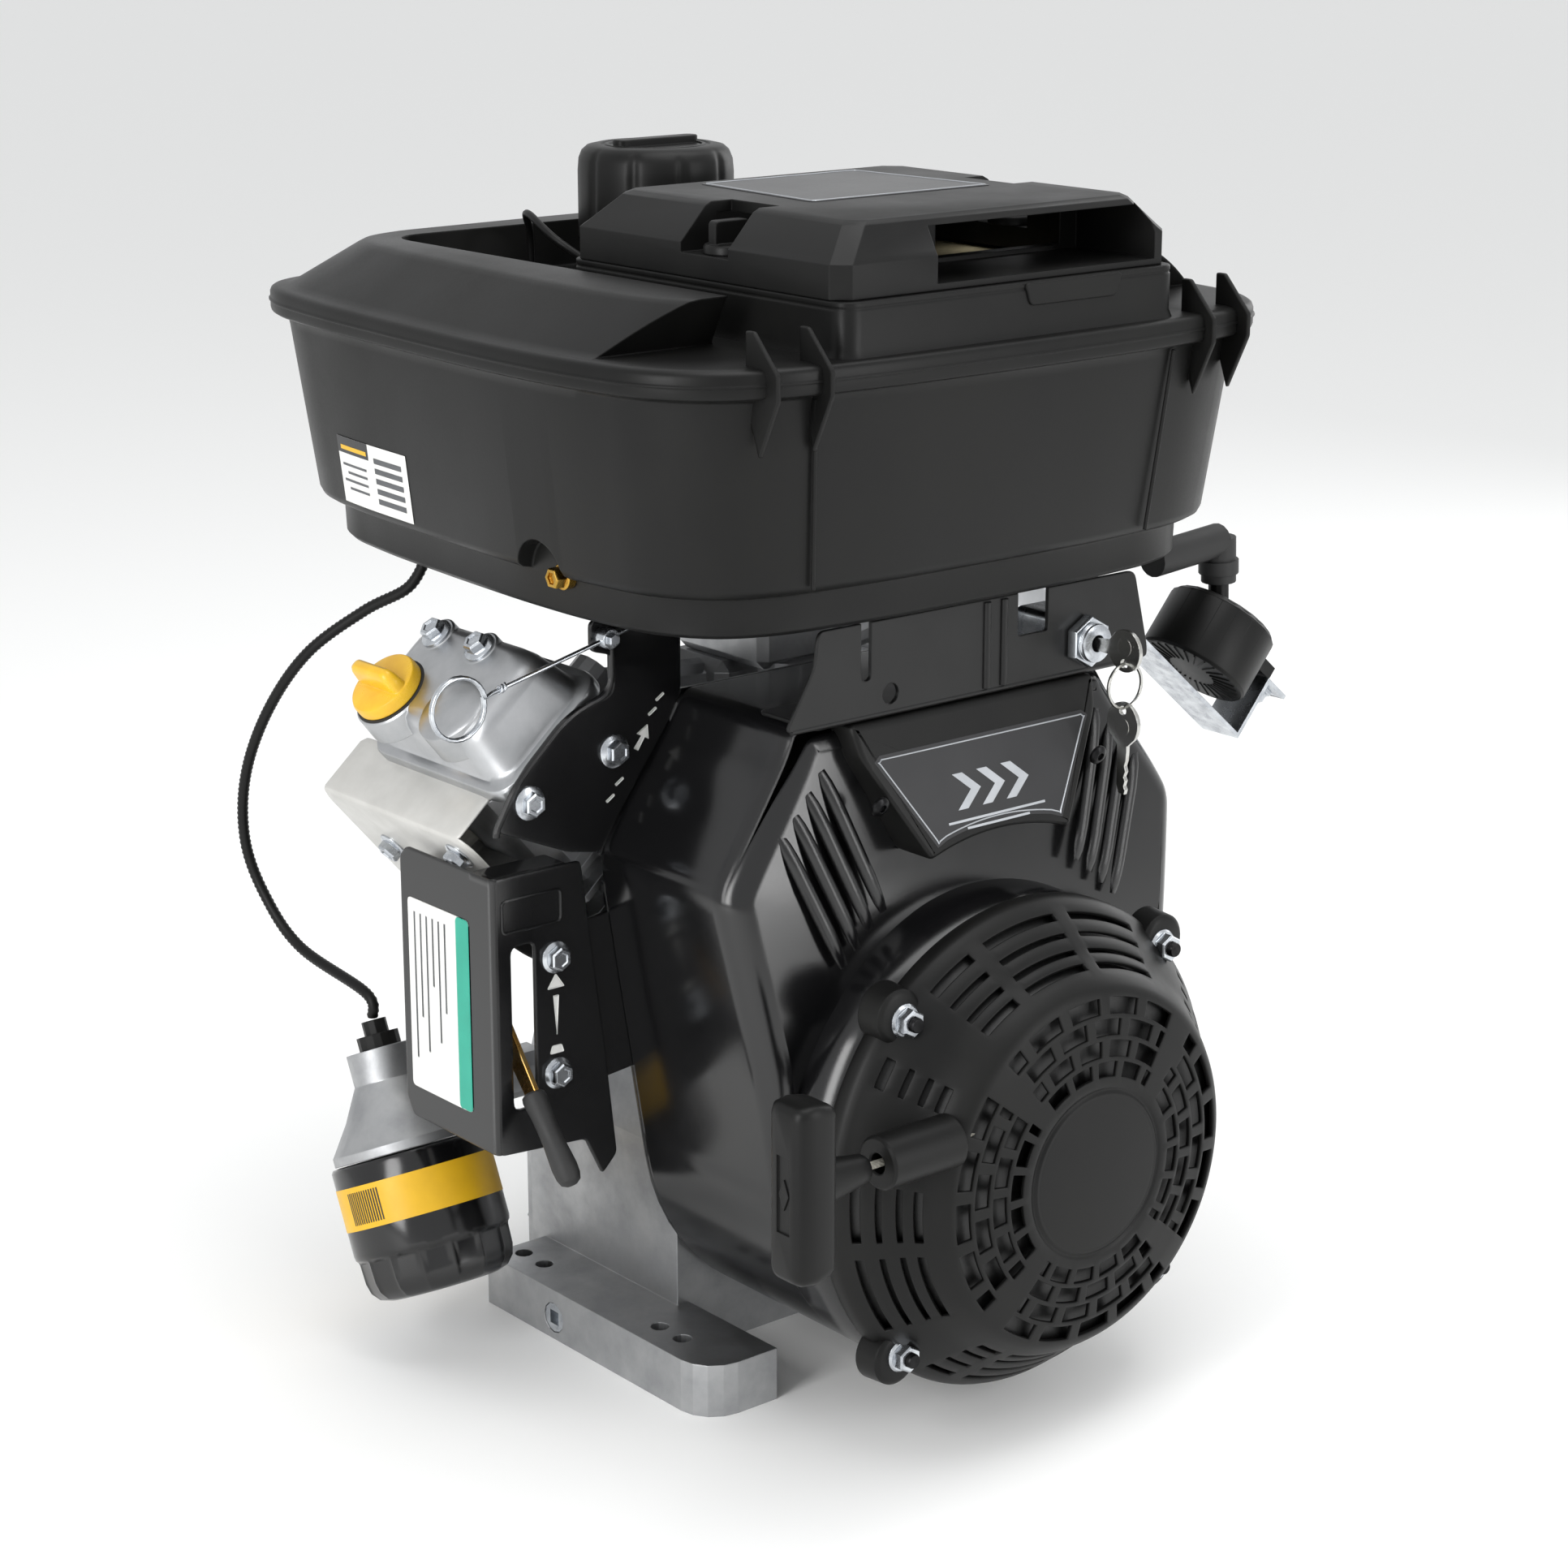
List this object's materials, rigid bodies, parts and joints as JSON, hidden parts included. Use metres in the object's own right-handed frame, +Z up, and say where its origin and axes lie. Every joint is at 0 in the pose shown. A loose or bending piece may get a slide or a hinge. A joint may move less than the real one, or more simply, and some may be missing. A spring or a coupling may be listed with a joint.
{
  "type": "small gasoline engine",
  "caption": "Air-cooled V-twin gasoline engine with a horizontal output shaft, recoil and key start, top fuel tank and air cleaner.",
  "frame": {"origin": "on the mounting plane under the base, straight below the crankshaft's axis", "axes": "+Z up; +Y along the crankshaft towards the output end; the recoil starter faces -Y; +X is to the right seen from the starter's side"},
  "size_m": [0.5487, 0.5055, 0.653],
  "materials": {
    "black_enamel": "gloss black enamel on sheet steel",
    "black_plastic": "satin moulded black plastic",
    "cast_aluminium": "die-cast, lightly oxidised",
    "silver_paint": "satin silver paint on sheet steel",
    "zinc_steel": "bright zinc plate",
    "forged_steel": "ground and forged steel",
    "yellow_plastic": "moulded yellow plastic",
    "yellow_zinc": "yellow passivated zinc plate on steel",
    "rubber": "moulded rubber",
    "filter_paper": "pleated paper",
    "white_ceramic": "glazed ceramic",
    "nylon_rope": "braided nylon"
  },
  "bodies": {
    "engine": {"crankcase": "cast_aluminium", "crankcase_cover": "cast_aluminium", "drain_plug": "zinc_steel", "cylinder_head_left": "cast_aluminium", "cylinder_head_right": "cast_aluminium", "rocker_cover_left": "cast_aluminium", "rocker_cover_right": "cast_aluminium", "head_shield_left": "silver_paint", "head_shield_right": "silver_paint", "spark_plug_left": "white_ceramic", "spark_plug_right": "white_ceramic", "plug_boot_left": "rubber", "plug_boot_right": "rubber", "ignition_lead_left": "rubber", "ignition_lead_right": "rubber", "ignition_coil_left": "black_plastic", "ignition_coil_right": "black_plastic", "blower_housing": "black_enamel", "backing_plate": "black_enamel", "trim_panel": "black_plastic", "recoil_cover": "black_plastic", "rewind_spring": "forged_steel", "starter_rope": "nylon_rope", "control_panel": "black_enamel", "choke_bracket": "black_enamel", "switch_bracket": "black_enamel", "ignition_switch": "zinc_steel", "fuel_tank": "black_plastic", "cap_tether": "black_plastic", "air_filter": "filter_paper", "intake_manifold": "cast_aluminium", "carburetor": "cast_aluminium", "oil_filter": "black_enamel", "filter_adapter": "cast_aluminium", "pressure_sender": "black_plastic", "wiring_conduit": "black_plastic", "vapour_canister": "black_plastic", "canister_bracket": "zinc_steel", "canister_hose": "rubber", "starter_motor": "black_enamel"},
    "crank": {"crankshaft": "forged_steel", "flywheel": "cast_aluminium", "cooling_fan": "black_plastic", "rotating_screen": "black_plastic"},
    "cam": {"camshaft": "forged_steel"},
    "piston_left": {"piston_left": "cast_aluminium"},
    "piston_right": {"piston_right": "cast_aluminium"},
    "throttle": {"throttle_lever": "yellow_zinc", "throttle_grip": "rubber"},
    "choke": {"choke_pull": "zinc_steel"},
    "key": {"ignition_key": "zinc_steel"},
    "key_ring": {"key_ring": "zinc_steel", "spare_key": "zinc_steel"},
    "pulley": {"recoil_pulley": "black_plastic"},
    "handle": {"starter_handle": "black_plastic"},
    "fuel_cap": {"fuel_cap": "black_plastic"},
    "oil_cap": {"oil_filler_cap": "yellow_plastic"},
    "air_cover": {"air_cleaner_cover": "black_plastic"},
    "air_knob_left": {"air_knob_left": "black_plastic"},
    "air_knob_right": {"air_knob_right": "black_plastic"}
  },
  "joints": [
    {"name": "crank_spin", "type": "hinge", "parent": "engine", "child": "crank", "pos_m": [0, 0.042, 0.152], "axis": [0, 1, 0], "continuous": true},
    {"name": "cam_spin", "type": "hinge", "parent": "engine", "child": "cam", "pos_m": [0, 0.042, 0.0761], "axis": [0, 1, 0], "continuous": true},
    {"name": "piston_left_stroke", "type": "slide", "parent": "engine", "child": "piston_left", "axis": [-0.6561, 0, 0.7547], "range_m": [-0.035, 0.035]},
    {"name": "piston_right_stroke", "type": "slide", "parent": "engine", "child": "piston_right", "axis": [0.6561, 0, 0.7547], "range_m": [-0.035, 0.035]},
    {"name": "throttle_swing", "type": "hinge", "parent": "engine", "child": "throttle", "pos_m": [-0.212, -0.005, 0.243], "axis": [-1, 0, 0], "range_deg": [0, 70]},
    {"name": "choke_draw", "type": "slide", "parent": "engine", "child": "choke", "axis": [-0.9734, 0, -0.229], "range_m": [0, 0.025]},
    {"name": "key_turn", "type": "hinge", "parent": "engine", "child": "key", "pos_m": [0.078, -0.187, 0.405], "axis": [0, 1, 0], "range_deg": [0, 90]},
    {"name": "key_ring_swing", "type": "hinge", "parent": "key", "child": "key_ring", "pos_m": [0.078, -0.187, 0.398], "axis": [-1, 0, 0], "range_deg": [0, 35]},
    {"name": "starter_pull", "type": "slide", "parent": "engine", "child": "handle", "axis": [-1, 0, 0], "range_m": [0, 0.5], "stiffness_N_per_m": 12, "springref_m": -0.3},
    {"name": "pulley_spin", "type": "hinge", "parent": "engine", "child": "pulley", "pos_m": [0, -0.2405, 0.152], "axis": [0, -1, 0], "range_deg": [0, 760]},
    {"name": "fuel_cap_lift", "type": "slide", "parent": "engine", "child": "fuel_cap", "axis": [0, 0, 1], "range_m": [0, 0.06]},
    {"name": "oil_cap_turn", "type": "hinge", "parent": "engine", "child": "oil_cap", "pos_m": [-0.21919, 0.06, 0.38281], "axis": [-0.6561, 0, 0.7547], "range_deg": [0, 90]},
    {"name": "air_cover_lift", "type": "slide", "parent": "engine", "child": "air_cover", "axis": [0, 0, 1], "range_m": [0, 0.06]},
    {"name": "air_knob_left_turn", "type": "hinge", "parent": "air_cover", "child": "air_knob_left", "pos_m": [-0.097, -0.074, 0.616], "axis": [0, 0, 1], "range_deg": [0, 90]},
    {"name": "air_knob_right_turn", "type": "hinge", "parent": "air_cover", "child": "air_knob_right", "pos_m": [0.097, -0.074, 0.616], "axis": [0, 0, -1], "range_deg": [0, 90]}
  ],
  "couplings": [
    {"joint": "cam_spin", "follows": "crank_spin", "ratio": -0.5},
    {"joint": "pulley_spin", "follows": "starter_pull", "rad_per_m": 26.316}
  ]
}
